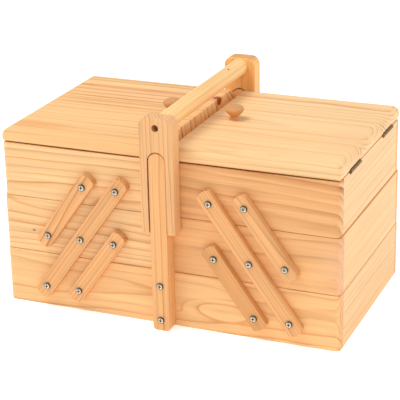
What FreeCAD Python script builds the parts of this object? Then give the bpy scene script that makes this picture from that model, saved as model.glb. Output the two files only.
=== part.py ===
import FreeCAD, Part
import math
import os

# A three-tier cantilever sewing box in solid pine. Sizes are in millimetres. X runs along the
# front, Y from front to back and Z up; the origin is on the table, under the middle of the base.
# Everything is drawn for the right-hand side or the front, and mirrored to the other side.

Vector = FreeCAD.Vector

# Boxes: one base, and a middle and an upper tray on each side.
BASE_LENGTH = 400.0
BASE_DEPTH = 228.0
TRAY_DEPTH = 227.4
BASE_HEIGHT = 65.0
MIDDLE_HEIGHT = 65.0
UPPER_HEIGHT = 62.4
TIER_GAP = 0.4
LID_GAP = 0.4
MIDDLE_INSET = 0.4
UPPER_INSET = 1.9
CENTRE_GAP = 1.0
WALL = 12.0
CORNER_RADIUS = 6.0
ARRIS_RADIUS = 0.8
SEAM_RADIUS = 2.2
PANEL_THICKNESS = 4.0
PANEL_LIFT = 3.0
PANEL_TONGUE = 5.0

# Lids, rounded over along the front, the rear and the hinged end, and flush with their trays.
LID_THICKNESS = 16.0
LID_INNER_X = 8.0
LID_TOP_RADIUS = 10.0
LID_BOTTOM_RADIUS = 4.5
LID_CORNER_RADIUS = 3.0
LID_INNER_RADIUS = 1.5

# Knobs, turned in one piece with a tenon. Points of the profile are (radius, height).
KNOB_X = 38.0
KNOB_FOOT = (6.2, 0.0)
KNOB_COVE = (5.2, 1.8)
KNOB_NECK = (4.9, 4.2)
KNOB_FLARE = (8.0, 7.2)
KNOB_RIM = (10.8, 11.2)
KNOB_SHOULDER = (9.9, 14.0)
KNOB_CROWN_EDGE = (6.8, 15.9)
KNOB_HEIGHT = 16.8
KNOB_TENON_RADIUS = 4.0
KNOB_TENON_LENGTH = 10.0

# Link bars. The long bar joins base, middle and upper tray, the short ones two tiers each.
# Every bar makes the same angle and joins pivots one tier apart, so the trays stay level.
PIVOT_RISE = 63.0
PIVOT_RUN = 45.6
LONG_FOOT_X = 146.0
LOWER_FOOT_X = 105.4
FOOT_Z = 28.0
UPPER_FOOT_SHIFT = 40.6
BAR_WIDTH = 18.0
BAR_THICKNESS = 8.0
BAR_END_RADIUS = 15.0
BAR_CORNER_RADIUS = 3.0
BAR_ARRIS_RADIUS = 0.8
BAR_GAP = 0.4

# Pan-head screws.
SCREW_RADIUS = 1.9
SCREW_HEAD_RADIUS = 3.8
SCREW_HEAD_HEIGHT = 2.6
SCREW_HEAD_EDGE = 1.5
SCREW_TIP = 5.0
SCREW_GAP = 0.2
SCREW_IN_WALL = 9.6
CROSS_LENGTH = 4.2
CROSS_WIDTH = 1.1
CROSS_DEPTH = 1.7
RUNNING_CLEARANCE = 0.08
OPEN_PIVOT_CLEARANCE = 0.10

# Posts and the sliding handle.
POST_WIDTH = 20.0
POST_THICKNESS = 18.0
POST_TOP = 208.0
POST_FOOT_RADIUS = 4.0
POST_ARRIS_RADIUS = 1.2
POST_SCREW_HEIGHTS = (13.0, 54.0)
PLATE_WIDTH = 39.0
PLATE_FOOT = 116.0
PLATE_TOP = 247.0
PLATE_CORNER_RADIUS = 10.0
PLATE_ARRIS_RADIUS = 1.5
PLATE_GAP = 0.4
PLATE_PROUD = 1.0
SLOT_SIDE_GAP = 0.4
SLOT_TOP_GAP = 0.8
GRIP_RADIUS = 10.0
GRIP_Z = 236.0
GRIP_SOCKET = 5.0
GRIP_SCREW_HOLE_RADIUS = 4.0
GRIP_SCREW_HOLE_DEPTH = 8.0
GRIP_SCREW_IN_BAR = 22.0
HANDLE_TRAVEL = 60.0
GUIDE_PIN_RADIUS = 2.0
GUIDE_PIN_LENGTH = 26.0
GUIDE_PIN_Z = 188.0
GUIDE_GAP = 0.3
GUIDE_GROOVE_DEPTH = 3.5

# Butt hinges at the outer end of each lid.
HINGE_Y = 62.0
HINGE_LENGTH = 36.0
HINGE_SLOT_LENGTH = 40.0
HINGE_SLOT_RADIUS = 3.2
HINGE_SLOT_REACH = 10.0
KNUCKLE_RADIUS = 2.2
KNUCKLE_GAP = 0.2
KNUCKLE_COUNT = 5
HINGE_PIN_RADIUS = 1.1
HINGE_PIN_CLEARANCE = 0.07
LEAF_THICKNESS = 1.0
LEAF_WIDTH = 10.5
LEAF_SCREW_Y = 11.0
LEAF_SCREW_INSET = 6.2
LEAF_SCREW_RADIUS = 1.2
LEAF_SCREW_HEAD_RADIUS = 2.4
LEAF_SCREW_LENGTH = 9.0
LEAF_SCREW_TIP = 2.0

MIDDLE_BOTTOM = BASE_HEIGHT + TIER_GAP
MIDDLE_TOP = MIDDLE_BOTTOM + MIDDLE_HEIGHT
UPPER_BOTTOM = MIDDLE_TOP + TIER_GAP
UPPER_TOP = UPPER_BOTTOM + UPPER_HEIGHT
LID_BOTTOM = UPPER_TOP + LID_GAP
LID_TOP = LID_BOTTOM + LID_THICKNESS
MIDDLE_OUTER_X = BASE_LENGTH / 2 - MIDDLE_INSET
UPPER_OUTER_X = BASE_LENGTH / 2 - UPPER_INSET
BASE_FACE_Y = -BASE_DEPTH / 2
BAR_BACK_Y = BASE_FACE_Y - BAR_GAP
BAR_FRONT_Y = BAR_BACK_Y - BAR_THICKNESS
POST_FRONT_Y = BASE_FACE_Y - POST_THICKNESS
PLATE_BACK_Y = BASE_FACE_Y - PLATE_GAP
PLATE_FRONT_Y = POST_FRONT_Y - PLATE_PROUD
HINGE_AXIS_X = UPPER_OUTER_X
HINGE_AXIS_Z = UPPER_TOP + LID_GAP / 2

# Pivot centres of the right-hand side, as (x, z).
LONG_PIVOTS = [(LONG_FOOT_X - n * PIVOT_RUN, FOOT_Z + n * PIVOT_RISE) for n in range(3)]
LOWER_PIVOTS = [(LOWER_FOOT_X - n * PIVOT_RUN, FOOT_Z + n * PIVOT_RISE) for n in range(2)]
UPPER_PIVOTS = [(x + UPPER_FOOT_SHIFT, z) for x, z in LONG_PIVOTS[1:]]

SIDES = {"right": 1, "left": -1}
FACES = {"front": 1, "rear": -1}


def placed(shape, side=1, face=1):
    """A piece drawn at the right and the front, mirrored to the side and the face asked for."""
    if side < 0:
        shape = shape.mirror(Vector(0, 0, 0), Vector(1, 0, 0))
    if face < 0:
        shape = shape.mirror(Vector(0, 0, 0), Vector(0, 1, 0))
    return shape


def box(x, y, z):
    """A block between the two limits given for each axis."""
    low = Vector(min(x), min(y), min(z))
    return Part.makeBox(max(x) - low.x, max(y) - low.y, max(z) - low.z, low)


def rod(radius, start, end):
    """A round bar from one point to another."""
    along = end - start
    return Part.makeCylinder(radius, along.Length, start, along)


def edges_in(shape, x=None, y=None, z=None):
    """The edges that lie wholly in the plane or planes given."""
    def lies_there(edge):
        span = edge.BoundBox
        limits = [(x, span.XMin, span.XMax), (y, span.YMin, span.YMax), (z, span.ZMin, span.ZMax)]
        return all(at is None or max(abs(low - at), abs(high - at)) < 0.01
                   for at, low, high in limits)
    return [edge for edge in shape.Edges if lies_there(edge)]


def outline_solid(outline, thickness):
    """A closed outline in an XZ plane, given depth towards the rear."""
    return Part.Face(Part.Wire(outline)).extrude(Vector(0, thickness, 0))


def turned(profile, foot, axis):
    """A solid turned round an axis that starts at foot.

    The profile is a list of edges in the XZ plane, X being the radius and Z the distance
    along the axis.
    """
    solid = Part.Face(Part.Wire(profile)).revolve(Vector(0, 0, 0), Vector(0, 0, 1), 360)
    solid.Placement = FreeCAD.Placement(foot, FreeCAD.Rotation(Vector(0, 0, 1), axis))
    return solid


def line(a, b):
    """A straight edge between two (x, z) points."""
    return Part.makeLine(Vector(a[0], 0, a[1]), Vector(b[0], 0, b[1]))


def arc(a, through, b):
    """A round edge through three (x, z) points."""
    points = [Vector(p[0], 0, p[1]) for p in (a, through, b)]
    return Part.Arc(*points).toShape()


def dome(rim, crown_z):
    """A round edge from a rim point (x, z) to the axis, level where it meets the axis."""
    rim_x, rim_z = rim
    rise = crown_z - rim_z
    radius = (rim_x ** 2 + rise ** 2) / (2 * rise)
    centre_z = crown_z - radius
    half_turn = 0.5 * math.atan2(rim_x / radius, (rim_z - centre_z) / radius)
    through = (abs(radius) * math.sin(abs(half_turn)), centre_z + radius * math.cos(half_turn))
    return arc(rim, through, (0, crown_z))


# ---------------------------------------------------------------- screws

def pan_screw(x, z, head_y, length):
    """A cross-recess pan-head screw, driven towards the rear, with its head's seat at head_y."""
    profile = [
        line((0, length), (SCREW_RADIUS, length - SCREW_TIP)),
        line((SCREW_RADIUS, length - SCREW_TIP), (SCREW_RADIUS, 0)),
        line((SCREW_RADIUS, 0), (SCREW_HEAD_RADIUS, 0)),
        line((SCREW_HEAD_RADIUS, 0), (SCREW_HEAD_RADIUS, -SCREW_HEAD_EDGE)),
        dome((SCREW_HEAD_RADIUS, -SCREW_HEAD_EDGE), -SCREW_HEAD_HEIGHT),
        line((0, -SCREW_HEAD_HEIGHT), (0, length)),
    ]
    screw = turned(profile, Vector(x, head_y, z), Vector(0, 1, 0))
    crown = head_y - SCREW_HEAD_HEIGHT
    half_length = CROSS_LENGTH / 2
    half_width = CROSS_WIDTH / 2
    depth = (crown - 1, crown + CROSS_DEPTH)
    across = box((x - half_length, x + half_length), depth, (z - half_width, z + half_width))
    upright = box((x - half_width, x + half_width), depth, (z - half_length, z + half_length))
    return screw.cut(across.fuse(upright))


def pivot_screws(pivots):
    """Screws through the link bars at the pivots given, front and rear, on the right."""
    length = SCREW_GAP + BAR_THICKNESS + BAR_GAP + SCREW_IN_WALL
    front = [pan_screw(x, z, BAR_FRONT_Y - SCREW_GAP, length) for x, z in pivots]
    return front + [placed(screw, face=-1) for screw in front]


# ---------------------------------------------------------------- boxes

def box_pieces(x, depth, z, lidded=False):
    """Four boards and a bottom panel between the limits given: front, rear, inner, outer, bottom.

    The front and rear boards run the full length and the end boards stand between them. The
    panel's edges sit in grooves in all four. Under a hinged lid the outer board's top edge
    stays square, and the front and rear boards' top edges are rounded more.
    """
    inner_x, outer_x = x
    bottom, top = z
    half = depth / 2
    inside = half - WALL

    panel = box((inner_x + WALL - PANEL_TONGUE, outer_x - WALL + PANEL_TONGUE),
                (-inside - PANEL_TONGUE, inside + PANEL_TONGUE),
                (bottom + PANEL_LIFT, bottom + PANEL_LIFT + PANEL_THICKNESS))

    front = box(x, (-half, -inside), z)
    front = front.makeFillet(CORNER_RADIUS, edges_in(front, x=outer_x, y=-half))
    inner_radius = CORNER_RADIUS if inner_x < 0 else ARRIS_RADIUS
    front = front.makeFillet(inner_radius, edges_in(front, x=inner_x, y=-half))
    for level, radius in ((bottom, ARRIS_RADIUS), (top, SEAM_RADIUS if lidded else ARRIS_RADIUS)):
        rims = [edge for edge in edges_in(front, z=level)
                if edge.CenterOfMass.y < -inside - ARRIS_RADIUS]
        front = front.makeFillet(radius, rims)

    def end_board(outside, within, eased):
        board = box((outside, within), (-inside, inside), z)
        rims = [edge for level in eased for edge in edges_in(board, x=outside, z=level)]
        return board.makeFillet(ARRIS_RADIUS, rims)

    boards = {
        "front_board": front,
        "rear_board": placed(front, face=-1),
        "inner_board": end_board(inner_x, inner_x + WALL, z),
        "outer_board": end_board(outer_x, outer_x - WALL, [bottom] if lidded else z),
    }
    pieces = {name: board.cut(panel) for name, board in boards.items()}
    pieces["bottom_panel"] = panel
    return pieces


def drilled(pieces, screws):
    """The pieces with a hole for each screw that enters them."""
    return {name: cut_each(piece, screws) for name, piece in pieces.items()}


def cut_each(piece, tools):
    """A piece less the tools that reach it."""
    near = [tool for tool in tools if tool.BoundBox.intersect(piece.BoundBox)]
    return piece.cut(near) if near else piece


# ---------------------------------------------------------------- link bars

def link_bar(pivots, open_pivot=None):
    """A flat bar with rounded ends through the pivots given, one of them perhaps the open one."""
    (x0, z0), (x1, z1) = pivots[0], pivots[-1]
    span = math.hypot(x1 - x0, z1 - z0)
    along = Vector((x1 - x0) / span, 0, (z1 - z0) / span)
    across = Vector(-along.z, 0, along.x)
    half = BAR_WIDTH / 2
    shoulder = math.sqrt(BAR_END_RADIUS ** 2 - half ** 2)

    def point(u, v):
        return Vector(x0, BAR_FRONT_Y, z0) + along * u + across * v

    corners = [point(-shoulder, -half), point(span + shoulder, -half),
               point(span + shoulder, half), point(-shoulder, half)]
    outline = [
        Part.makeLine(corners[0], corners[1]),
        Part.Arc(corners[1], point(span + BAR_END_RADIUS, 0), corners[2]).toShape(),
        Part.makeLine(corners[2], corners[3]),
        Part.Arc(corners[3], point(-BAR_END_RADIUS, 0), corners[0]).toShape(),
    ]
    bar = outline_solid(outline, BAR_THICKNESS)
    upright = [edge for edge in bar.Edges if edge.BoundBox.YLength > BAR_THICKNESS / 2]
    bar = bar.makeFillet(BAR_CORNER_RADIUS, upright)
    bar = bar.makeFillet(BAR_ARRIS_RADIUS, edges_in(bar, y=BAR_FRONT_Y))
    for pivot in pivots:
        clearance = OPEN_PIVOT_CLEARANCE if pivot == open_pivot else RUNNING_CLEARANCE
        hole = rod(SCREW_RADIUS + clearance, Vector(pivot[0], BAR_FRONT_Y - 1, pivot[1]),
                   Vector(pivot[0], BAR_BACK_Y + 1, pivot[1]))
        bar = bar.cut(hole)
    return bar


# ---------------------------------------------------------------- lids, knobs and hinges

def lid_panel():
    """A lid's panel, its front and rear edges rounded above and below, its hinged end above."""
    half = TRAY_DEPTH / 2
    sides = (-half, half)
    levels = (LID_BOTTOM, LID_TOP)
    board = box((LID_INNER_X, HINGE_AXIS_X), sides, levels)
    top_edges = [edge for y in sides for edge in edges_in(board, y=y, z=LID_TOP)]
    board = board.makeFillet(LID_TOP_RADIUS, top_edges)
    bottom_edges = [edge for y in sides for edge in edges_in(board, y=y, z=LID_BOTTOM)]
    board = board.makeFillet(LID_BOTTOM_RADIUS, bottom_edges)
    end = box((LID_INNER_X, HINGE_AXIS_X), (-half - 1, half + 1), levels)
    end = end.makeFillet(LID_TOP_RADIUS, edges_in(end, x=HINGE_AXIS_X, z=LID_TOP))
    panel = board.common(end).Solids[0]

    def at_corner(edge):
        span = edge.BoundBox
        near_side = min(abs(span.YMin + half), abs(span.YMax - half)) < 0.01
        near_end = abs(span.XMax - HINGE_AXIS_X) < 0.01
        upright = span.ZMin > LID_BOTTOM + LID_BOTTOM_RADIUS - 0.01
        return near_side and near_end and upright and span.ZLength > 0.1

    panel = panel.makeFillet(LID_CORNER_RADIUS, [edge for edge in panel.Edges if at_corner(edge)])
    return panel.makeFillet(LID_INNER_RADIUS, edges_in(panel, x=LID_INNER_X, z=LID_TOP))


def knob():
    """A mushroom knob with its tenon let into the lid."""
    tenon_foot = -KNOB_TENON_LENGTH
    profile = [
        line((0, tenon_foot), (KNOB_TENON_RADIUS, tenon_foot)),
        line((KNOB_TENON_RADIUS, tenon_foot), (KNOB_TENON_RADIUS, 0)),
        line((KNOB_TENON_RADIUS, 0), KNOB_FOOT),
        arc(KNOB_FOOT, KNOB_COVE, KNOB_NECK),
        arc(KNOB_NECK, KNOB_FLARE, KNOB_RIM),
        arc(KNOB_RIM, KNOB_SHOULDER, KNOB_CROWN_EDGE),
        dome(KNOB_CROWN_EDGE, KNOB_HEIGHT),
        line((0, KNOB_HEIGHT), (0, tenon_foot)),
    ]
    return turned(profile, Vector(KNOB_X, 0, LID_TOP), Vector(0, 0, 1))


def hinge_slot(y):
    """The round-ended slot cut into the seam's outer face for a hinge's knuckles."""
    floor_x = HINGE_AXIS_X - HINGE_SLOT_RADIUS
    mouth_x = floor_x + HINGE_SLOT_REACH
    straight = HINGE_SLOT_LENGTH / 2 - HINGE_SLOT_RADIUS
    ends = (y - straight, y + straight)
    slot = box((floor_x, mouth_x), ends,
               (HINGE_AXIS_Z - HINGE_SLOT_RADIUS, HINGE_AXIS_Z + HINGE_SLOT_RADIUS))
    for end_y in ends:
        floor = Vector(floor_x, end_y, HINGE_AXIS_Z)
        mouth = Vector(mouth_x, end_y, HINGE_AXIS_Z)
        slot = slot.fuse(rod(HINGE_SLOT_RADIUS, floor, mouth))
    return slot.removeSplitter()


def hinge_leaf(y, on_lid):
    """One leaf with its knuckles: the lid's has the even ones, the tray's the odd ones."""
    first = y - HINGE_LENGTH / 2
    last = y + HINGE_LENGTH / 2
    pitch = (HINGE_LENGTH + KNUCKLE_GAP) / KNUCKLE_COUNT
    starts = [first + n * pitch for n in range(KNUCKLE_COUNT)]
    spans = [(start, start + pitch - KNUCKLE_GAP) for start in starts]
    if on_lid:
        own, other = spans[1::2], spans[0::2]
        plate_z = (LID_BOTTOM, LID_BOTTOM + LEAF_THICKNESS)
    else:
        own, other = spans[0::2], spans[1::2]
        plate_z = (UPPER_TOP - LEAF_THICKNESS, UPPER_TOP)
    leaf = box((HINGE_AXIS_X - LEAF_WIDTH, HINGE_AXIS_X), (first, last), plate_z)

    def on_axis(radius, low, high):
        start = Vector(HINGE_AXIS_X, low, HINGE_AXIS_Z)
        return rod(radius, start, start + Vector(0, high - low, 0))

    notch_radius = KNUCKLE_RADIUS + 2 * KNUCKLE_GAP
    for low, high in other:
        leaf = leaf.cut(on_axis(notch_radius, low - KNUCKLE_GAP, high + KNUCKLE_GAP))
    for low, high in own:
        leaf = leaf.fuse(on_axis(KNUCKLE_RADIUS, low, high))
    hole_radius = HINGE_PIN_RADIUS + (HINGE_PIN_CLEARANCE if on_lid else 0)
    leaf = leaf.cut(on_axis(hole_radius, y - HINGE_LENGTH, y + HINGE_LENGTH))
    return leaf.removeSplitter()


def hinge_pin(y):
    """The pin of one hinge."""
    ends = [Vector(HINGE_AXIS_X, y + half * HINGE_LENGTH / 2, HINGE_AXIS_Z) for half in (-1, 1)]
    return rod(HINGE_PIN_RADIUS, *ends)


def leaf_screws(y, on_lid):
    """The two countersunk screws of one leaf, up into the lid or down into the tray."""
    sink = LEAF_SCREW_HEAD_RADIUS - LEAF_SCREW_RADIUS
    profile = [
        line((0, 0), (LEAF_SCREW_HEAD_RADIUS, 0)),
        line((LEAF_SCREW_HEAD_RADIUS, 0), (LEAF_SCREW_RADIUS, sink)),
        line((LEAF_SCREW_RADIUS, sink), (LEAF_SCREW_RADIUS, LEAF_SCREW_LENGTH - LEAF_SCREW_TIP)),
        line((LEAF_SCREW_RADIUS, LEAF_SCREW_LENGTH - LEAF_SCREW_TIP), (0, LEAF_SCREW_LENGTH)),
        line((0, LEAF_SCREW_LENGTH), (0, 0)),
    ]
    seat, drive = (LID_BOTTOM, Vector(0, 0, 1)) if on_lid else (UPPER_TOP, Vector(0, 0, -1))
    x = HINGE_AXIS_X - LEAF_SCREW_INSET
    return [turned(profile, Vector(x, y + offset, seat), drive)
            for offset in (-LEAF_SCREW_Y, LEAF_SCREW_Y)]


def hinge_half(on_lid):
    """Both hinges' leaves on the lid or on the tray, and their screws, as separate solids."""
    screws = [screw for y in (-HINGE_Y, HINGE_Y) for screw in leaf_screws(y, on_lid)]
    leaves = [cut_each(hinge_leaf(y, on_lid), screws) for y in (-HINGE_Y, HINGE_Y)]
    return leaves + screws


# ---------------------------------------------------------------- posts and handle

def post():
    """The front post, flat on the base's face, with a round top and a hole for the guide pin."""
    half = POST_WIDTH / 2
    shoulder = POST_TOP - half
    outline = [
        line((-half, 0), (half, 0)),
        line((half, 0), (half, shoulder)),
        arc((half, shoulder), (0, POST_TOP), (-half, shoulder)),
        line((-half, shoulder), (-half, 0)),
    ]
    body = outline_solid(outline, POST_THICKNESS)
    body.translate(Vector(0, POST_FRONT_Y, 0))
    foot = [edge for x in (-half, half) for edge in edges_in(body, x=x, z=0)]
    body = body.makeFillet(POST_FOOT_RADIUS, foot)
    return body.makeFillet(POST_ARRIS_RADIUS, edges_in(body, y=POST_FRONT_Y))


def guide_pin():
    """The cross pin in the front post that the handle plate's grooves run on."""
    y = BASE_FACE_Y - POST_THICKNESS / 2
    ends = [Vector(half * GUIDE_PIN_LENGTH / 2, y, GUIDE_PIN_Z) for half in (-1, 1)]
    return rod(GUIDE_PIN_RADIUS, *ends)


def post_screws():
    """The front post's two screws into the base."""
    length = POST_THICKNESS + SCREW_IN_WALL
    return [pan_screw(0, z, POST_FRONT_Y, length) for z in POST_SCREW_HEIGHTS]


def grip():
    """The round handle bar, its ends let into the plates."""
    reach = GRIP_SOCKET - PLATE_BACK_Y
    return rod(GRIP_RADIUS, Vector(0, -reach, GRIP_Z), Vector(0, reach, GRIP_Z))


def grip_screw():
    """The screw at the bottom of the front plate's counterbored hole, into the bar's end."""
    seat = PLATE_FRONT_Y + GRIP_SCREW_HOLE_DEPTH
    socket_floor = PLATE_BACK_Y - GRIP_SOCKET
    return pan_screw(0, GRIP_Z, seat, socket_floor - seat + GRIP_SCREW_IN_BAR)


def handle_plate():
    """The front handle plate, slotted from below to straddle the post."""
    half = PLATE_WIDTH / 2
    slot = POST_WIDTH / 2 + SLOT_SIDE_GAP
    arch = POST_TOP + SLOT_TOP_GAP
    spring = arch - slot
    corner = PLATE_CORNER_RADIUS
    bend = corner * (1 - math.sqrt(0.5))
    left, right = -half, half
    shoulder = PLATE_TOP - corner
    outline = [
        line((left, PLATE_FOOT), (-slot, PLATE_FOOT)),
        line((-slot, PLATE_FOOT), (-slot, spring)),
        arc((-slot, spring), (0, arch), (slot, spring)),
        line((slot, spring), (slot, PLATE_FOOT)),
        line((slot, PLATE_FOOT), (right, PLATE_FOOT)),
        line((right, PLATE_FOOT), (right, shoulder)),
        arc((right, shoulder), (right - bend, PLATE_TOP - bend), (right - corner, PLATE_TOP)),
        line((right - corner, PLATE_TOP), (left + corner, PLATE_TOP)),
        arc((left + corner, PLATE_TOP), (left + bend, PLATE_TOP - bend), (left, shoulder)),
        line((left, shoulder), (left, PLATE_FOOT)),
    ]
    plate = outline_solid(outline, PLATE_BACK_Y - PLATE_FRONT_Y)
    plate.translate(Vector(0, PLATE_FRONT_Y, 0))
    rims = [edge for y in (PLATE_FRONT_Y, PLATE_BACK_Y) for edge in edges_in(plate, y=y)
            if abs(edge.CenterOfMass.x) > half - corner or edge.CenterOfMass.z > arch + 1]
    plate = plate.makeFillet(PLATE_ARRIS_RADIUS, rims)

    pin_y = BASE_FACE_Y - POST_THICKNESS / 2
    reach = slot + GUIDE_GROOVE_DEPTH
    margin = GUIDE_PIN_RADIUS + GUIDE_GAP
    groove = box((-reach, reach), (pin_y - margin, pin_y + margin),
                 (GUIDE_PIN_Z - HANDLE_TRAVEL - margin, GUIDE_PIN_Z + margin))
    counterbore = rod(GRIP_SCREW_HOLE_RADIUS, Vector(0, PLATE_FRONT_Y - 1, GRIP_Z),
                      Vector(0, PLATE_FRONT_Y + GRIP_SCREW_HOLE_DEPTH, GRIP_Z))
    return plate.cut([groove, counterbore, grip(), grip_screw()])


# ---------------------------------------------------------------- the nodes

def both_faces(piece):
    """A front piece and its twin at the rear."""
    return [piece, placed(piece, face=-1)]


def base_nodes():
    """The base with its posts, and the handle that slides on them."""
    half = BASE_LENGTH / 2
    pieces = box_pieces((-half, half), BASE_DEPTH, (0, BASE_HEIGHT))
    right = pivot_screws([LONG_PIVOTS[0], LOWER_PIVOTS[0]])
    pivots = right + [placed(screw, side=-1) for screw in right]
    front_screws = post_screws()
    posts = [screw for front in front_screws for screw in both_faces(front)]
    names = {"inner_board": "left_board", "outer_board": "right_board"}
    nodes = {"base_" + names.get(name, name): piece
             for name, piece in drilled(pieces, pivots + posts).items()}
    nodes["base_pivot_screws"] = Part.makeCompound(pivots)
    nodes["post_screws"] = Part.makeCompound(posts)
    nodes["handle_guide_pins"] = Part.makeCompound(both_faces(guide_pin()))
    nodes["handle_bar"] = cut_each(grip(), both_faces(grip_screw()))
    nodes["handle_screws"] = Part.makeCompound(both_faces(grip_screw()))
    front_post = post().cut(front_screws + [guide_pin()])
    plate = handle_plate()
    for name, face in FACES.items():
        nodes[name + "_post"] = placed(front_post, face=face)
        nodes[name + "_handle_plate"] = placed(plate, face=face)
    return nodes


def side_pieces():
    """Every piece of the right-hand side, by its name without the side."""
    inner_x = CENTRE_GAP / 2
    middle = box_pieces((inner_x, MIDDLE_OUTER_X), TRAY_DEPTH, (MIDDLE_BOTTOM, MIDDLE_TOP))
    upper = box_pieces((inner_x, UPPER_OUTER_X), TRAY_DEPTH, (UPPER_BOTTOM, UPPER_TOP), lidded=True)
    middle_screws = pivot_screws([LONG_PIVOTS[1], LOWER_PIVOTS[1], UPPER_PIVOTS[0]])
    upper_screws = pivot_screws([LONG_PIVOTS[2], UPPER_PIVOTS[1]])
    tray_hinges = hinge_half(on_lid=False)
    lid_hinges = hinge_half(on_lid=True)
    slots = [hinge_slot(y) for y in (-HINGE_Y, HINGE_Y)]
    upper["outer_board"] = upper["outer_board"].cut(slots + tray_hinges)

    pieces = {"middle_" + name: piece for name, piece in drilled(middle, middle_screws).items()}
    pieces.update({"upper_" + name: piece for name, piece in drilled(upper, upper_screws).items()})
    pieces["middle_pivot_screws"] = Part.makeCompound(middle_screws)
    pieces["upper_pivot_screws"] = Part.makeCompound(upper_screws)
    pieces["tray_hinge_leaves"] = Part.makeCompound(tray_hinges)
    pieces["lid_hinge_leaves"] = Part.makeCompound(lid_hinges)
    pieces["hinge_pins"] = Part.makeCompound([hinge_pin(y) for y in (-HINGE_Y, HINGE_Y)])
    pieces["knob"] = knob()
    pieces["lid"] = lid_panel().cut(slots + lid_hinges + [knob()])

    bars = {
        "long_bar": link_bar(LONG_PIVOTS),
        "lower_bar": link_bar(LOWER_PIVOTS, open_pivot=LOWER_PIVOTS[1]),
        "upper_bar": link_bar(UPPER_PIVOTS, open_pivot=UPPER_PIVOTS[1]),
    }
    for name, bar in bars.items():
        for face_name, face in FACES.items():
            pieces[face_name + "_" + name] = placed(bar, face=face)
    return pieces


def main():
    nodes = base_nodes()
    for name, piece in side_pieces().items():
        for side_name, side in SIDES.items():
            nodes[side_name + "_" + name] = placed(piece, side=side)
    os.makedirs("parts", exist_ok=True)
    for name, shape in nodes.items():
        shape.exportStep(os.path.join("parts", name + ".step"))
    print(len(nodes), "nodes")


main()
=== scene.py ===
import math
import random
from collections import namedtuple

import bpy
from mathutils import Matrix, Vector


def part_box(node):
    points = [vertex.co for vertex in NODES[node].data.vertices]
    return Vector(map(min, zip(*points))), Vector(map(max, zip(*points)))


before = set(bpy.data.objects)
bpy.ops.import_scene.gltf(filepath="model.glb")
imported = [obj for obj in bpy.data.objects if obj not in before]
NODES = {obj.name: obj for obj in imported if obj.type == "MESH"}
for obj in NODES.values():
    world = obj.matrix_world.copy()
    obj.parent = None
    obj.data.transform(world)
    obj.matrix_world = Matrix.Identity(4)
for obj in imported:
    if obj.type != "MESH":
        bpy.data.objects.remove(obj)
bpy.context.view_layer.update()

# A three-tier cantilever sewing box in pine, closed, on a pale studio floor.

# Directions, and places in metres, in the part's frame.
X, Y, Z = Vector((1, 0, 0)), Vector((0, 1, 0)), Vector((0, 0, 1))
FRONT, REAR = -1, 1
FRONT_Y = -0.114            # the front of the base, and within 0.3 mm that of the trays
LID_DEPTH = 0.2274          # from the front edge of a lid to its rear edge
LID_MIDDLE_X = 0.1035       # about the middle of a lid
LID_TOP = 0.2096
SLOT_X = 0.1960             # inside the hinge slots
HINGE_Y = 0.062             # the middles of the hinges, front and rear
HINGE_Z = 0.1934            # the joint under the lids, level with their hinge pins
BAR_RUN, BAR_RISE = 45.6, 63    # from a long bar's lowest pivot to its next, in millimetres

# Wood colours, as linear light. Early wood is the pale part of a year's growth, late wood the dark.
PINE_EARLY = (0.90, 0.535, 0.235)
PINE_LATE = (0.62, 0.245, 0.058)
PINE_END = (0.86, 0.465, 0.205)
LEFT_EARLY = (0.90, 0.560, 0.265)
WARM_EARLY = (0.84, 0.445, 0.180)
PALE_EARLY = (0.90, 0.600, 0.300)
SIDE_EARLY = (0.87, 0.535, 0.255)
SIDE_LATE = (0.66, 0.30, 0.105)
TAN_LATE = (0.52, 0.250, 0.095)
BROWN_EARLY = (0.74, 0.385, 0.140)
BEECH_EARLY = (0.66, 0.320, 0.115)
BEECH_LATE = (0.44, 0.165, 0.045)
BEECH_END = (0.70, 0.350, 0.140)

# The colours of marks on the wood: knots, resin, streaks and tone, and some painted light and
# shade.
# Dark knots; also painted shade inside the hinge slots and down the handle plate's slot.
KNOT_AND_SHADE = (0.20, 0.065, 0.018)
KNOT_HEART = (0.26, 0.062, 0.012)
KNOT_RING = (0.70, 0.27, 0.060)
RESIN = (0.56, 0.21, 0.075)
RESIN_DASH = (0.40, 0.16, 0.045)
BLUSH = (0.85, 0.490, 0.285)
GOLDEN = (0.84, 0.43, 0.165)
GOLDEN_EDGE = (0.86, 0.45, 0.165)
GOLDEN_FLAME = (0.78, 0.36, 0.12)
FINE_STREAK = (0.64, 0.255, 0.070)
# Painted light: a pale band on both sides of the seam at each lid's hinged end, lifting the shade
# in the gap.
SEAM_PAINTED_LIGHT = (0.98, 0.72, 0.44)
# Painted shade in the grooves between the lids and their trays.
SEAM_SHADE = (0.34, 0.125, 0.032)

# Metal colours, bright and dark: the dark is tarnish, and on screws also painted shade in recesses
# and rims.
SCREW = ((0.74, 0.67, 0.55), (0.045, 0.030, 0.018))
HANDLE_SCREW = ((0.46, 0.33, 0.16), (0.36, 0.25, 0.11))
BRONZE = ((0.34, 0.215, 0.10), (0.045, 0.026, 0.012))


# ---------------------------------------------------------------- node graphs

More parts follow.
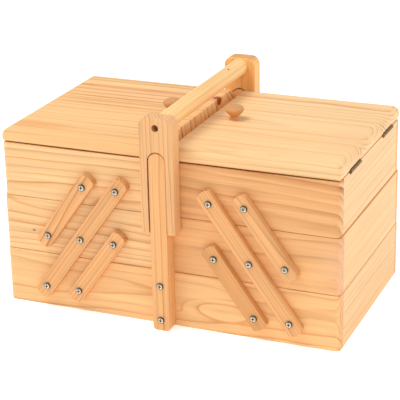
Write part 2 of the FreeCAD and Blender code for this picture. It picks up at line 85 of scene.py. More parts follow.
class Graph:
    """Adds shader nodes to a tree. A value may be a number, a tuple or another node's socket."""

    def __init__(self, tree):
        self.tree = tree

    def node(self, kind, **settings):
        node = self.tree.nodes.new(kind)
        for name, value in settings.items():
            setattr(node, name, value)
        return node

    def feed(self, socket, value):
        if isinstance(value, bpy.types.NodeSocket):
            self.tree.links.new(value, socket)
        elif value is not None:
            socket.default_value = value

    def math(self, operation, a, b=None, c=None):
        node = self.node("ShaderNodeMath", operation=operation)
        for socket, value in zip(node.inputs, (a, b, c)):
            self.feed(socket, value)
        return node.outputs[0]

    def vector(self, operation, a, b=None):
        node = self.node("ShaderNodeVectorMath", operation=operation)
        for socket, value in zip(node.inputs, (a, b)):
            self.feed(socket, value)
        return node.outputs["Value" if operation in ("LENGTH", "DOT_PRODUCT") else "Vector"]

    def split(self, vector):
        node = self.node("ShaderNodeSeparateXYZ")
        self.feed(node.inputs[0], vector)
        return node.outputs

    def join(self, x, y, z):
        node = self.node("ShaderNodeCombineXYZ")
        for socket, value in zip(node.inputs, (x, y, z)):
            self.feed(socket, value)
        return node.outputs[0]

    def noise(self, vector, scale=1.0, detail=2.0, roughness=0.5, offset=None):
        """Noise from 0 to 1, at points that offset shifts."""
        if offset is not None:
            vector = self.vector("ADD", vector, offset)
        node = self.node("ShaderNodeTexNoise")
        self.feed(node.inputs["Vector"], vector)
        node.inputs["Scale"].default_value = scale
        node.inputs["Detail"].default_value = detail
        node.inputs["Roughness"].default_value = roughness
        return node.outputs["Fac"]

    def around_zero(self, value, reach):
        """A 0 to 1 value spread over -reach to reach."""
        width = self.math("MULTIPLY", reach, 2.0)
        return self.math("MULTIPLY", self.math("SUBTRACT", value, 0.5), width)

    def ramp(self, value, stops):
        """A value looked up on straight lines through (position, level) stops."""
        node = self.node("ShaderNodeValToRGB")
        elements = node.color_ramp.elements
        while len(elements) < len(stops):
            elements.new(1.0)
        for element, (position, level) in zip(elements, stops):
            element.position = position
            element.color = (level, level, level, 1.0)
        self.feed(node.inputs[0], value)
        return node.outputs["Color"]

    def band(self, value, low, high):
        """0 below low, 1 above high, and smooth between them."""
        node = self.node("ShaderNodeMapRange", interpolation_type="SMOOTHSTEP")
        self.feed(node.inputs["Value"], value)
        self.feed(node.inputs["From Min"], low)
        self.feed(node.inputs["From Max"], high)
        return node.outputs["Result"]

    def opposite(self, value):
        """1 where the value is 0, and 0 where it is 1."""
        return self.math("SUBTRACT", 1.0, value)

    def mix(self, factor, a, b, blend="MIX"):
        node = self.node("ShaderNodeMix", data_type="RGBA", blend_type=blend)
        self.feed(node.inputs["Factor"], factor)
        colours = [socket for socket in node.inputs if socket.type == "RGBA"]
        for socket, value in zip(colours, (a, b)):
            if isinstance(value, tuple):
                value = (*value, 1.0)
            self.feed(socket, value)
        return [socket for socket in node.outputs if socket.type == "RGBA"][0]

    def shaded(self, colour, level):
        """A colour made lighter or darker by a level."""
        return self.mix(1.0, colour, self.join(level, level, level), "MULTIPLY")

    def bump(self, height, strength, distance):
        node = self.node("ShaderNodeBump")
        node.inputs["Strength"].default_value = strength
        node.inputs["Distance"].default_value = distance
        self.feed(node.inputs["Height"], height)
        return node.outputs[0]


# ---------------------------------------------------------------- solid wood

# A board's settings, in metres where they are lengths. Across is over its face, Depth is into it.
WOOD_SETTINGS = {
    "Pith Across": 0.0,     # where the middle of the tree lies
    "Pith Depth": -0.05,
    "Lean Across": 0.0,     # how the pith line leans as it goes along the board
    "Lean Depth": 0.0,
    "Ring Width": 0.004,
    "Wave": 0.003,          # how far slow waves push the rings
    "Wobble": 0.0005,       # how far small ones do
    "Contrast": 0.8,        # how dark the late wood is
    "Fibre": 0.85,          # how strong the fibres are
    "Tone": 0.5,            # how strong the golden patches are
    "Seed": 0.0,
    "Staves": 1.0,          # how many staves a lid is glued from
    "Stave Spread": 1.0,    # how far apart their piths lie, in stave widths
    "Swell": 0.0,           # how far a swell pushes the rings, and where it is
    "Swell Along": 0.0,
    "Swell Across": 0.0,
    "Band": 0.0,            # from narrow late wood, 0, to broad late wood, 1
    "Plain": 0.0,           # how far from the pith the face has little late wood
    "Joint": 1.0,           # from the board's middle to its ends, where they butt against others
}

# How fast each noise varies, per metre along the grain, across the face and into it.
SLOW_WAVES = (5.0, 16.0, 16.0)
QUICK_WAVES = (22.0, 55.0, 55.0)
PATCHES = (9.0, 22.0, 22.0)
TONES = (4.0, 12.0, 12.0)
FIBRES = (13.0, 620.0, 620.0)
STREAKS = (5.0, 170.0, 170.0)
CANALS = (95.0, 1500.0, 1500.0)
PORES = (40.0, 900.0, 900.0)
YEARS = 55.0                # and along the radius of the tree

# A swell's half length and half width, and how many times that it reaches before it is gone.
SWELL_LENGTH = 0.040
SWELL_WIDTH = 0.011
SWELL_EDGE = 1.6

# How dark the wood gets through one year, from its first growth at 0 to its last at 1.
NARROW_LATE = [(0.0, 0.15), (0.04, 0.0), (0.50, 0.07), (0.80, 0.32), (0.92, 1.0), (0.98, 0.90),
               (1.0, 0.15)]
BROAD_LATE = [(0.0, 0.30), (0.10, 0.0), (0.30, 0.12), (0.62, 0.75), (0.90, 1.0), (1.0, 0.30)]


def wood_group():
    """A node group for solid wood: rings round a pith line, fibres, resin canals, tone, end grain.

    Its Place is a point in the board: x along the grain, y across the face, z through the
    thickness, in metres. Ends is 1 where the surface is cut square across the grain.
    """
    tree = bpy.data.node_groups.new("solid_wood", "ShaderNodeTree")
    face = tree.interface
    face.new_socket("Place", in_out="INPUT", socket_type="NodeSocketVector")
    face.new_socket("Ends", in_out="INPUT", socket_type="NodeSocketFloat")
    for name in WOOD_SETTINGS:
        face.new_socket(name, in_out="INPUT", socket_type="NodeSocketFloat")
    for name in ("Early", "Late", "End"):
        face.new_socket(name, in_out="INPUT", socket_type="NodeSocketColor")
    face.new_socket("Colour", in_out="OUTPUT", socket_type="NodeSocketColor")
    face.new_socket("Roughness", in_out="OUTPUT", socket_type="NodeSocketFloat")
    face.new_socket("Height", in_out="OUTPUT", socket_type="NodeSocketFloat")

    g = Graph(tree)
    given = g.node("NodeGroupInput").outputs
    seed = g.join(given["Seed"], g.math("MULTIPLY", given["Seed"], 1.7),
                  g.math("MULTIPLY", given["Seed"], 0.6))
    x, y, z = g.split(given["Place"])

    # Which glued stave of a wide panel this is; each has its own pith and its own noise.
    width = g.math("DIVIDE", LID_DEPTH, given["Staves"])
    stave = g.math("FLOOR", g.math("DIVIDE", g.math("ADD", y, LID_DEPTH / 2), width))
    middle = g.math("MULTIPLY", g.math("ADD", stave, 0.5), width)
    middle = g.math("SUBTRACT", middle, LID_DEPTH / 2)
    stave_y = g.math("MULTIPLY", middle, given["Stave Spread"])
    own = g.vector("ADD", seed, g.join(g.math("MULTIPLY", stave, 3.1), 0.0, stave))

    def grain_noise(rates, **settings):
        return g.noise(g.vector("MULTIPLY", given["Place"], rates), offset=own, **settings)

    # Slow waves along the board and a small wobble move the rings about.
    slow = g.vector("MULTIPLY", given["Place"], SLOW_WAVES)
    wave_y = g.around_zero(g.noise(slow, offset=own), given["Wave"])
    elsewhere = g.vector("ADD", slow, (7.3, 1.9, 4.4))
    wave_z = g.around_zero(g.noise(elsewhere, offset=own), given["Wave"])
    wobble = g.around_zero(grain_noise(QUICK_WAVES), given["Wobble"])
    from_pith_y = g.math("SUBTRACT", y, g.math("ADD", given["Pith Across"], stave_y))
    from_pith_y = g.math("SUBTRACT", from_pith_y, g.math("MULTIPLY", given["Lean Across"], x))
    from_pith_z = g.math("SUBTRACT", z, given["Pith Depth"])
    from_pith_z = g.math("SUBTRACT", from_pith_z, g.math("MULTIPLY", given["Lean Depth"], x))
    radial = g.join(g.math("ADD", from_pith_y, wave_y), g.math("ADD", from_pith_z, wave_z), 0.0)
    radius = g.math("ADD", g.vector("LENGTH", radial), wobble)

    # A swell where the stem bulged round a branch makes a closed oval on the face.
    past_x = g.math("DIVIDE", g.math("SUBTRACT", x, given["Swell Along"]), SWELL_LENGTH)
    past_y = g.math("DIVIDE", g.math("SUBTRACT", y, given["Swell Across"]), SWELL_WIDTH)
    bulge = g.opposite(g.band(g.vector("LENGTH", g.join(past_x, past_y, 0.0)), 0.0, SWELL_EDGE))
    radius = g.math("MULTIPLY_ADD", bulge, given["Swell"], radius)

    # Years differ in width and in the strength of their late wood.
    spread = g.noise(g.join(g.math("MULTIPLY", radius, YEARS), 0.0, 0.0), detail=1.0, offset=own)
    years = g.math("ADD", g.math("DIVIDE", radius, given["Ring Width"]), g.around_zero(spread, 1.1))
    part = g.math("FRACT", years)
    strength = g.node("ShaderNodeTexWhiteNoise", noise_dimensions="2D")
    g.feed(strength.inputs["Vector"], g.join(g.math("FLOOR", years), given["Seed"], 0.0))
    narrow = g.math("MULTIPLY", g.ramp(part, NARROW_LATE), g.opposite(given["Band"]))
    broad = g.math("MULTIPLY", g.ramp(part, BROAD_LATE), given["Band"])
    late = g.math("ADD", broad, narrow)
    # Where a ring runs flat along the face its dark edge can be lost in a plain strip.
    across = g.math("ABSOLUTE", from_pith_y)
    late = g.math("MULTIPLY", late, g.band(across, -0.001, given["Plain"]))
    yearly = g.math("MULTIPLY_ADD", strength.outputs["Value"], 0.75, 0.45)
    patchy = g.math("MULTIPLY_ADD", g.band(grain_noise(PATCHES, detail=3.0), 0.25, 0.7), 0.5, 0.6)
    late = g.math("MULTIPLY", late, g.math("MULTIPLY", yearly, patchy))

    # Fibres, and the short dark dashes of resin canals.
    fine = grain_noise(FIBRES, detail=4.0, roughness=0.62)
    streak = grain_noise(STREAKS, detail=3.0)
    canal = g.band(grain_noise(CANALS, detail=1.0), 0.70, 0.80)
    canal = g.math("MULTIPLY", canal, g.math("MULTIPLY_ADD", late, 0.7, 0.3))
    tone = grain_noise(TONES, detail=2.0)

    grain = g.math("MULTIPLY", late, given["Contrast"])
    colour = g.mix(grain, given["Early"], given["Late"])
    fine_light = g.math("MULTIPLY", g.around_zero(fine, 0.20), given["Fibre"])
    streak_light = g.math("MULTIPLY", g.around_zero(streak, 0.26), given["Fibre"])
    brightness = g.math("ADD", g.math("ADD", 1.0, fine_light), streak_light)
    brightness = g.math("ADD", brightness, g.around_zero(tone, 0.10))
    warmth = g.math("MULTIPLY", g.band(tone, 0.40, 0.66), given["Tone"])
    colour = g.mix(g.math("MULTIPLY", warmth, 0.55), colour, GOLDEN)
    colour = g.shaded(colour, brightness)
    colour = g.mix(g.math("MULTIPLY", canal, 0.50), colour, RESIN_DASH)

    # End grain has sharper, darker rings and open pores.
    pores = grain_noise(PORES, detail=2.0)
    end_late = g.mix(1.0, given["Late"], (0.60, 0.55, 0.50), "MULTIPLY")
    end_colour = g.mix(late, given["End"], end_late)
    speckle = g.math("MULTIPLY_ADD", g.band(pores, 0.35, 0.75), -0.22, 1.06)
    colour = g.mix(given["Ends"], colour, g.shaded(end_colour, speckle))

    # A thin line of shade where the board's ends butt against its neighbours.
    short = g.math("SUBTRACT", given["Joint"], g.math("ABSOLUTE", x))
    butt = g.opposite(g.band(short, 0.0002, 0.0007))
    colour = g.mix(g.math("MULTIPLY", butt, 0.45), colour, given["Late"])

    # Late wood is a little smoother and prouder than early wood, and end grain rougher.
    roughness = g.math("MULTIPLY_ADD", fine, 0.16, 0.44)
    roughness = g.math("SUBTRACT", roughness, g.math("MULTIPLY", grain, 0.08))
    roughness = g.math("MULTIPLY_ADD", given["Ends"], 0.15, roughness)
    height = g.math("MULTIPLY_ADD", fine, 0.45, g.math("MULTIPLY", late, 0.35))
    height = g.math("SUBTRACT", height, g.math("MULTIPLY", canal, 0.5))

    out = g.node("NodeGroupOutput")
    g.feed(out.inputs["Colour"], colour)
    g.feed(out.inputs["Roughness"], roughness)
    g.feed(out.inputs["Height"], height)
    return tree


WOOD = wood_group()

# A knot, streak or shade: an egg-shaped mark at a place in the part's frame. Its core is the
# share of its reach that lies inside its soft edge.
Spot = namedtuple("Spot", "centre reach colour strength core", defaults=[0.55])


def inside_spot(g, place, spot):
    """1 inside the spot, fading to 0 between its core and its edge."""
    offset = g.vector("SUBTRACT", place, spot.centre)
    scaled = g.vector("MULTIPLY", offset, tuple(1.0 / reach for reach in spot.reach))
    return g.opposite(g.band(g.vector("LENGTH", scaled), spot.core, 1.0))


def new_material(name):
    """A material, the graph that adds to it, and its shader."""
    material = bpy.data.materials.new(name)
    material.use_nodes = True
    return material, Graph(material.node_tree), material.node_tree.nodes["Principled BSDF"]


def wood(name, along, across, centre, colours, spots, settings):
    """A wood material for one board, its grain along one axis and its face's width across one."""
    material, g, shader = new_material(name)
    along, across = Vector(along).normalized(), Vector(across).normalized()
    turn = Matrix((along, across, along.cross(across))).transposed().to_euler("XYZ")
    coordinates = g.node("ShaderNodeTexCoord").outputs
    place = g.node("ShaderNodeMapping", vector_type="TEXTURE")
    g.feed(place.inputs["Vector"], coordinates["Object"])
    place.inputs["Location"].default_value = centre
    place.inputs["Rotation"].default_value = turn
    facing = g.math("ABSOLUTE", g.vector("DOT_PRODUCT", coordinates["Normal"], tuple(along)))

    group = g.node("ShaderNodeGroup", node_tree=WOOD)
    g.feed(group.inputs["Place"], place.outputs[0])
    g.feed(group.inputs["Ends"], g.band(facing, 0.45, 0.95))
    for key, value in {**WOOD_SETTINGS, **settings}.items():
        group.inputs[key].default_value = value
    for key, value in zip(("Early", "Late", "End"), colours):
        group.inputs[key].default_value = (*value, 1.0)

    # A spot's edge is ragged by a quarter of its reach, and by no more than 4 mm.
    colour = group.outputs["Colour"]
    if spots:
        ragged = g.noise(coordinates["Object"], scale=260.0, detail=2.0)
    for spot in spots:
        push = g.join(*[g.around_zero(ragged, min(0.25 * reach, 0.004)) for reach in spot.reach])
        inside = inside_spot(g, g.vector("ADD", coordinates["Object"], push), spot)
        colour = g.mix(g.math("MULTIPLY", inside, spot.strength), colour, spot.colour)

    g.feed(shader.inputs["Base Color"], colour)
    g.feed(shader.inputs["Roughness"], group.outputs["Roughness"])
    relief = g.bump(group.outputs["Height"], strength=0.35, distance=0.0003)
    g.feed(shader.inputs["Normal"], relief)
    shader.inputs["Specular IOR Level"].default_value = 0.35
    return material


# ---------------------------------------------------------------- metals

# Painted shade in a screw's recess: it starts this far behind its crown, and is full at this depth.
RECESS_START, RECESS_DARK = 0.0007, 0.00115
# How squarely a screw head faces out where its rim has painted shade, and where it is bright.
RIM_DARK, RIM_BRIGHT = 0.893, 0.925


def metal(name, colours, roughness, tarnish, face=None):
    """Plated metal, tarnished in patches, with painted shade and no shine in screw recesses and
    rims.

    The face is how far the heads' crowns lie from the middle of the box, front and rear.
    """
    material, g, shader = new_material(name)
    coordinates = g.node("ShaderNodeTexCoord").outputs
    cloud = g.noise(coordinates["Object"], scale=420.0, detail=3.0)
    shade = g.math("MULTIPLY", g.band(cloud, 0.45, 0.75), tarnish)
    # Painted shade: screw recesses and the rims of screw heads turn dark and lose their metal
    # shine.
    if face is not None:
        _, from_middle, _ = g.split(coordinates["Object"])
        from_middle = g.math("ABSOLUTE", from_middle)
        deep = g.opposite(g.band(from_middle, face - RECESS_DARK, face - RECESS_START))
        _, facing_out, _ = g.split(coordinates["Normal"])
        rim = g.opposite(g.band(g.math("ABSOLUTE", facing_out), RIM_DARK, RIM_BRIGHT))
        shade = g.math("MAXIMUM", shade, g.math("MAXIMUM", deep, rim))
    bright, dark = colours
    g.feed(shader.inputs["Base Color"], g.mix(shade, bright, dark))
    scratches = g.vector("MULTIPLY", coordinates["Object"], (900.0, 900.0, 6000.0))
    scratch = g.noise(scratches, detail=2.0)
    g.feed(shader.inputs["Roughness"], g.math("MULTIPLY_ADD", scratch, 0.18, roughness))
    g.feed(shader.inputs["Normal"], g.bump(scratch, strength=0.12, distance=0.0001))
    g.feed(shader.inputs["Metallic"], g.opposite(shade))
    return material


# ---------------------------------------------------------------- marks on the boards

def side_of(node):
    return -1 if node.startswith("left") else 1


def speck(x, y, z, reach=(0.0022, 0.002, 0.0012)):
    """A small dark knot."""
    return Spot((x, y, z), reach, KNOT_AND_SHADE, 0.85)


def hinge_seam(side):
    """A pale band of painted light along a lid's hinged end, and painted shade inside its two hinge
    slots.
    """
    # Painted light: a pale band along the seam, lifting the shade in the gap.
    marks = [Spot((side * 0.1975, 0.0, HINGE_Z), (0.0040, 0.128, 0.0022), SEAM_PAINTED_LIGHT, 0.45, 0.3)]
    for y in (-HINGE_Y, HINGE_Y):
        # Painted shade inside each hinge slot, round the knuckle.
        marks.append(Spot((side * SLOT_X, y, HINGE_Z), (0.0042, 0.0215, 0.0042), KNOT_AND_SHADE, 0.95, 0.72))
    return marks


def front_seam(side, face):
    """Painted shade in the groove between a lid and its tray, along the front or the rear."""
    centre = (side * LID_MIDDLE_X, face * 0.1110, HINGE_Z)
    return [Spot(centre, (0.140, 0.0060, 0.0011), SEAM_SHADE, 0.65, 0.4)]


def left_lid_streaks():
    """Fine streaks along the grain behind the middle of the left lid: places across, and widths."""
    lines = [(0.054, 0.0024), (0.041, 0.0024), (0.029, 0.0034), (0.015, 0.0026), (0.002, 0.0030)]
    return [Spot((-0.120, y, LID_TOP), (0.125, width, 0.006), FINE_STREAK, 0.8, 0.3)
            for y, width in lines]


LEFT_LID_KNOT = (-0.0085, 0.068, 0.2065)
LEFT_LID_SPOTS = [
    Spot((-0.102, 0.0690, LID_TOP), (0.130, 0.0056, 0.008), RESIN, 0.85),
    Spot((-0.135, 0.0700, LID_TOP), (0.050, 0.0080, 0.008), GOLDEN, 0.6),
    Spot((-0.060, 0.0660, LID_TOP), (0.050, 0.0085, 0.008), GOLDEN, 0.6),
    Spot((-0.075, 0.046, LID_TOP), (0.095, 0.022, 0.006), BLUSH, 0.25),
    Spot((-0.105, -0.040, LID_TOP), (0.150, 0.034, 0.010), PINE_EARLY, 0.55, 0.3),
    Spot((-0.100, -0.100, 0.2050), (0.160, 0.022, 0.016), GOLDEN_EDGE, 0.45, 0.3),
    *left_lid_streaks(),
    Spot(LEFT_LID_KNOT, (0.0130, 0.0120, 0.0080), KNOT_RING, 0.8),
    Spot((-0.175, -0.088, 0.207), (0.080, 0.019, 0.012), GOLDEN_FLAME, 0.75, 0.2),
    Spot(LEFT_LID_KNOT, (0.0095, 0.0075, 0.0060), KNOT_HEART, 0.95, 0.7),
]


# ---------------------------------------------------------------- what each node is made of

# Early wood, late wood and end grain.
PINE = (PINE_EARLY, PINE_LATE, PINE_END)
LEFT_PINE = (LEFT_EARLY, PINE_LATE, PINE_END)
SIDE_PINE = (SIDE_EARLY, SIDE_LATE, PINE_END)
BAR_PINE = ((0.82, 0.420, 0.165), (0.50, 0.185, 0.048), (0.72, 0.365, 0.135))
BAR_BROWN = ((0.72, 0.345, 0.120), (0.60, 0.26, 0.080), BROWN_EARLY)
BEECH = (BEECH_EARLY, BEECH_LATE, BEECH_END)

# What sets each visible board apart: its colours, its rings and its marks.
BOARDS = {
    "left_upper_front_board": dict(
        colours=LEFT_PINE,
        settings={"Pith Across": -0.030, "Pith Depth": 0.045, "Ring Width": 0.0056, "Wave": 0.003,
                  "Contrast": 0.82}),
    "left_middle_front_board": dict(
        colours=LEFT_PINE,
        spots=[speck(-0.1635, FRONT_Y, 0.091, (0.0026, 0.002, 0.0015))],
        settings={"Pith Across": 0.036, "Pith Depth": -0.050, "Ring Width": 0.0052,
                  "Wave": 0.0045, "Lean Depth": 0.03, "Contrast": 0.82}),
    "base_front_board": dict(
        spots=[speck(0.199, -0.1065, 0.0105, (0.002, 0.0012, 0.0024))],
        settings={"Pith Across": 0.004, "Pith Depth": -0.040, "Ring Width": 0.0046,
                  "Wave": 0.005, "Lean Depth": -0.02, "Swell": 0.0095, "Swell Along": 0.064,
                  "Swell Across": -0.005, "Contrast": 0.80}),
    "right_upper_front_board": dict(
        colours=(WARM_EARLY, (0.54, 0.19, 0.045), PINE_END),
        spots=[speck(0.105, FRONT_Y, 0.152)],
        settings={"Pith Across": -0.052, "Pith Depth": 0.052, "Ring Width": 0.0088,
                  "Wave": 0.005, "Wobble": 0.0010, "Lean Depth": 0.0, "Lean Across": -0.05,
                  "Band": 0.55, "Contrast": 0.95}),
    "right_middle_front_board": dict(
        colours=(WARM_EARLY, (0.58, 0.235, 0.075), (0.80, 0.42, 0.235)),
        spots=[Spot((0.202, FRONT_Y, 0.096), (0.045, 0.014, 0.046), BLUSH, 0.45, 0.0),
               speck(0.117, FRONT_Y, 0.0765, (0.0016, 0.002, 0.0010))],
        settings={"Pith Across": -0.020, "Pith Depth": 0.060, "Ring Width": 0.0085,
                  "Wave": 0.003, "Plain": 0.010, "Contrast": 1.0}),
    "left_lid": dict(
        # The end-grain colour is made pale as painted light, lifting the shade on the inner edge
        # between the lids.
        colours=(PINE_EARLY, (0.46, 0.175, 0.040), (1.00, 0.69, 0.33)),
        spots=LEFT_LID_SPOTS,
        settings={"Pith Across": 0.150, "Pith Depth": 0.045, "Lean Across": 0.0,
                  "Lean Depth": 0.0, "Ring Width": 0.0125, "Wave": 0.005, "Contrast": 1.0}),
    "right_lid": dict(
        colours=(PALE_EARLY, (0.66, 0.30, 0.095), (0.93, 0.60, 0.31)),
        spots=[Spot((0.178, -0.020, 0.207), (0.030, 0.050, 0.010), BLUSH, 0.35, 0.1)],
        settings={"Staves": 3.0, "Stave Spread": 1.28, "Plain": 0.009, "Pith Across": 0.0,
                  "Pith Depth": 0.063, "Lean Across": 0.0, "Lean Depth": 0.004,
                  "Ring Width": 0.0047, "Wave": 0.003, "Wobble": 0.0003, "Fibre": 0.5,
                  "Contrast": 0.95, "Swell": 0.006, "Swell Along": -0.045,
                  "Swell Across": -0.098}),
    "right_upper_outer_board": dict(
        colours=SIDE_PINE,
        settings={"Pith Across": -0.06, "Pith Depth": 0.05, "Ring Width": 0.0062, "Wave": 0.002,
                  "Contrast": 0.8, "Tone": 0.2}),
    "right_middle_outer_board": dict(
        colours=(SIDE_EARLY, (0.76, 0.40, 0.17), PINE_END),
        settings={"Pith Across": 0.01, "Pith Depth": -0.09, "Ring Width": 0.012, "Wave": 0.004,
                  "Contrast": 0.55, "Tone": 0.9}),
    "base_right_board": dict(
        colours=SIDE_PINE,
        settings={"Pith Across": -0.07, "Pith Depth": -0.04, "Ring Width": 0.0055,
                  "Wave": 0.002, "Contrast": 0.8, "Tone": 0.4}),
    "front_post": dict(
        colours=(WARM_EARLY, PINE_LATE, PINE_END),
        settings={"Pith Across": 0.02, "Pith Depth": 0.03, "Ring Width": 0.0036, "Wave": 0.001,
                  "Contrast": 1.2, "Lean Across": 0.0, "Lean Depth": 0.0}),
    "front_handle_plate": dict(
        colours=((0.80, 0.450, 0.205), TAN_LATE, (0.80, 0.45, 0.205)),
        # Painted shade: a dark line down the left wall of the slot, where the gap beside the post
        # lies in shade.
        spots=[Spot((-0.0102, -0.130, 0.158), (0.0009, 0.020, 0.055), KNOT_AND_SHADE, 0.8, 0.75)],
        settings={"Pith Across": 0.035, "Pith Depth": 0.022, "Ring Width": 0.0036,
                  "Wave": 0.0015, "Contrast": 1.05}),
    "rear_handle_plate": dict(
        colours=((1.0, 0.575, 0.200), (0.62, 0.27, 0.070), BROWN_EARLY),
        settings={"Pith Across": -0.03, "Pith Depth": 0.03, "Ring Width": 0.0055,
                  "Contrast": 0.5}),
    "handle_bar": dict(
        colours=((0.97, 0.620, 0.270), (0.76, 0.37, 0.120), PINE_END),
        spots=[speck(0.0035, 0.070, 0.2452, (0.0014, 0.0028, 0.0016))],
        settings={"Pith Across": -0.060, "Pith Depth": 0.01, "Ring Width": 0.0026,
                  "Wave": 0.0008, "Wobble": 0.0002, "Contrast": 0.65, "Lean Across": 0.0,
                  "Lean Depth": 0.0}),
}

KNOB_RINGS = {"Ring Width": 0.0024, "Contrast": 0.5, "Wave": 0.001}

# The rings in the link bars: a quartered face has close straight lines, a flat one a few bold ones.
BAR_RINGS = {
    "long": {"Pith Across": 0.036, "Pith Depth": 0.020, "Ring Width": 0.0036,
             "Lean Across": 0.0, "Lean Depth": 0.004},
    "upper": {"Pith Across": -0.012, "Pith Depth": -0.030, "Ring Width": 0.0030,
              "Lean Across": 0.012, "Lean Depth": 0.02},
    "lower": {"Pith Across": -0.040, "Pith Depth": 0.024, "Ring Width": 0.0033,
              "Lean Across": 0.0, "Lean Depth": 0.0},
}


def is_link_bar(node):
    return node.endswith(("long_bar", "lower_bar", "upper_bar"))


def grain_of(node):
    """Which way a node's grain runs, and which way its face's width, or None if it isn't wood."""
    if node.endswith(("front_board", "rear_board")):
        return X, Z
    if node.endswith("_board"):
        return Y, Z
    if node.endswith(("bottom_panel", "_lid")):
        return X, Y
    if node.endswith(("knob", "post", "plate")):
        return Z, X
    if node == "handle_bar":
        return Y, X
    if is_link_bar(node):
        slope = Vector((-BAR_RUN * side_of(node), 0, BAR_RISE)).normalized()
        return slope, slope.cross(Y)
    return None


def middle_of(node):
    low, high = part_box(node)
    return (low + high) / 2


def paint(node, material):
    """Puts the material in every slot of a node."""
    mesh = NODES[node].data
    if not mesh.materials:
        mesh.materials.append(material)
    for index in range(len(mesh.materials)):
        mesh.materials[index] = material


def paint_wood(node, along, across):
    """Gives a node a wood material of its own; its name seeds what BOARDS leaves open."""
    chance = random.Random(node)
    settings = {
        "Seed": chance.uniform(0.0, 90.0),
        "Pith Across": chance.uniform(-0.03, 0.03),
        "Pith Depth": chance.choice((-1, 1)) * chance.uniform(0.03, 0.06),
        "Lean Depth": chance.uniform(-0.03, 0.03),
        "Lean Across": chance.uniform(-0.02, 0.02),
        "Ring Width": chance.uniform(0.0035, 0.0055),
        "Contrast": chance.uniform(0.65, 0.9),
    }
    look = BOARDS.get(node, {})
    settings.update(look.get("settings", {}))
    colours = look.get("colours", PINE)
    spots = list(look.get("spots", ()))
    if node.endswith("knob"):
        colours = BEECH
        settings.update(KNOB_RINGS)
    elif is_link_bar(node):
        colours = BAR_BROWN if node == "right_front_lower_bar" else BAR_PINE
        kind = node.split("_")[2]
        settings.update({"Wave": 0.0014, "Contrast": 0.95, "Wobble": 0.0002, **BAR_RINGS[kind]})
    elif along is Y and node.endswith("_board"):
        low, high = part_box(node)
        settings["Joint"] = (high.y - low.y) / 2
    if node.endswith(("_lid", "upper_outer_board")):
        spots += hinge_seam(side_of(node))
    if node.endswith(("_lid", "upper_front_board", "upper_rear_board")):
        spots += front_seam(side_of(node), FRONT) + front_seam(side_of(node), REAR)
    paint(node, wood(node, along, across, middle_of(node), colours, spots, settings))


def paint_steel(node):
    """Gives screws or pins a plated steel of their own."""
    low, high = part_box(node)
    face = max(-low.y, high.y)
    colours = HANDLE_SCREW if node == "handle_screws" else SCREW
    paint(node, metal(node, colours, 0.30, 0.30, face))


HINGE_BRONZE = metal("hinge_bronze", BRONZE, 0.42, 0.95)

for node in NODES:
    grain = grain_of(node)
    if grain is not None:
        paint_wood(node, *grain)
    elif node.endswith(("screws", "guide_pins")):
        paint_steel(node)
    elif "hinge" in node:
        paint(node, HINGE_BRONZE)


# ---------------------------------------------------------------- studio

FLOOR_REACH = 6.0
FLOOR_GREY = 0.86
# Painted light: the floor's glow, which keeps it white up to the box and lights the box from below.
FLOOR_GLOW = 0.52
SKY_LIGHT = 0.66
LAMP_TARGET = (0, 0, 0.1)
CAMERA_PLACE = (0.6086, -1.4512, 0.7170)
CAMERA_ANGLES = (-22.966, 21.181, -1.223)   # yaw from +Y, pitch down and roll, in degrees
CAMERA_LENS = 131.01
CAMERA_SENSOR = 36


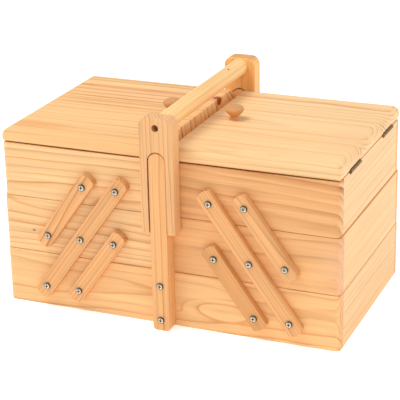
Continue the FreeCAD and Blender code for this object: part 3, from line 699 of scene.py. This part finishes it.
def add_floor():
    """A pale floor that glows though it is no lamp: painted light standing in for a lit sweep of
    paper.
    """
    mesh = bpy.data.meshes.new("floor")
    corners = [(-FLOOR_REACH, -FLOOR_REACH, 0), (FLOOR_REACH, -FLOOR_REACH, 0),
               (FLOOR_REACH, FLOOR_REACH, 0), (-FLOOR_REACH, FLOOR_REACH, 0)]
    mesh.from_pydata(corners, [], [(0, 1, 2, 3)])
    floor = bpy.data.objects.new("floor", mesh)
    bpy.context.scene.collection.objects.link(floor)
    material, _, shader = new_material("floor")
    shader.inputs["Base Color"].default_value = (FLOOR_GREY, FLOOR_GREY, FLOOR_GREY, 1)
    shader.inputs["Roughness"].default_value = 0.9
    shader.inputs["Specular IOR Level"].default_value = 0.1
    shader.inputs["Emission Color"].default_value = (1, 1, 1, 1)
    shader.inputs["Emission Strength"].default_value = FLOOR_GLOW
    mesh.materials.append(material)


def add_lamp(name, place, size, power):
    """A square lamp of this size in metres and power in watts, aimed at the box."""
    data = bpy.data.lights.new(name, "AREA")
    data.shape = "SQUARE"
    data.size = size
    data.energy = power
    lamp = bpy.data.objects.new(name, data)
    lamp.location = place
    lamp.rotation_mode = "QUATERNION"
    lamp.rotation_quaternion = (Vector(LAMP_TARGET) - Vector(place)).to_track_quat("-Z", "Y")
    bpy.context.scene.collection.objects.link(lamp)


def add_camera():
    """The camera at the photograph's viewing angle."""
    yaw, pitch, roll = (math.radians(angle) for angle in CAMERA_ANGLES)
    forward = Vector((math.sin(yaw) * math.cos(pitch), math.cos(yaw) * math.cos(pitch),
                      -math.sin(pitch)))
    right = Vector((math.cos(yaw), -math.sin(yaw), 0))
    up = right.cross(forward)
    right, up = (right * math.cos(roll) + up * math.sin(roll),
                 up * math.cos(roll) - right * math.sin(roll))
    data = bpy.data.cameras.new("camera")
    data.lens = CAMERA_LENS
    data.sensor_width = CAMERA_SENSOR
    data.clip_end = 50
    camera = bpy.data.objects.new("camera", data)
    place = Matrix((right, up, -forward)).transposed().to_4x4()
    place.translation = Vector(CAMERA_PLACE)
    camera.matrix_world = place
    bpy.context.scene.collection.objects.link(camera)
    bpy.context.scene.camera = camera


def add_world():
    world = bpy.data.worlds.new("studio")
    world.use_nodes = True
    background = world.node_tree.nodes["Background"]
    background.inputs["Color"].default_value = (1, 1, 1, 1)
    background.inputs["Strength"].default_value = SKY_LIGHT
    bpy.context.scene.world = world


add_floor()
add_world()
add_lamp("key", place=(-0.7, -0.5, 1.9), size=0.9, power=20)
add_lamp("side", place=(2.0, 0.3, 1.0), size=1.4, power=11)
add_camera()
bpy.context.scene.view_settings.view_transform = "Standard"
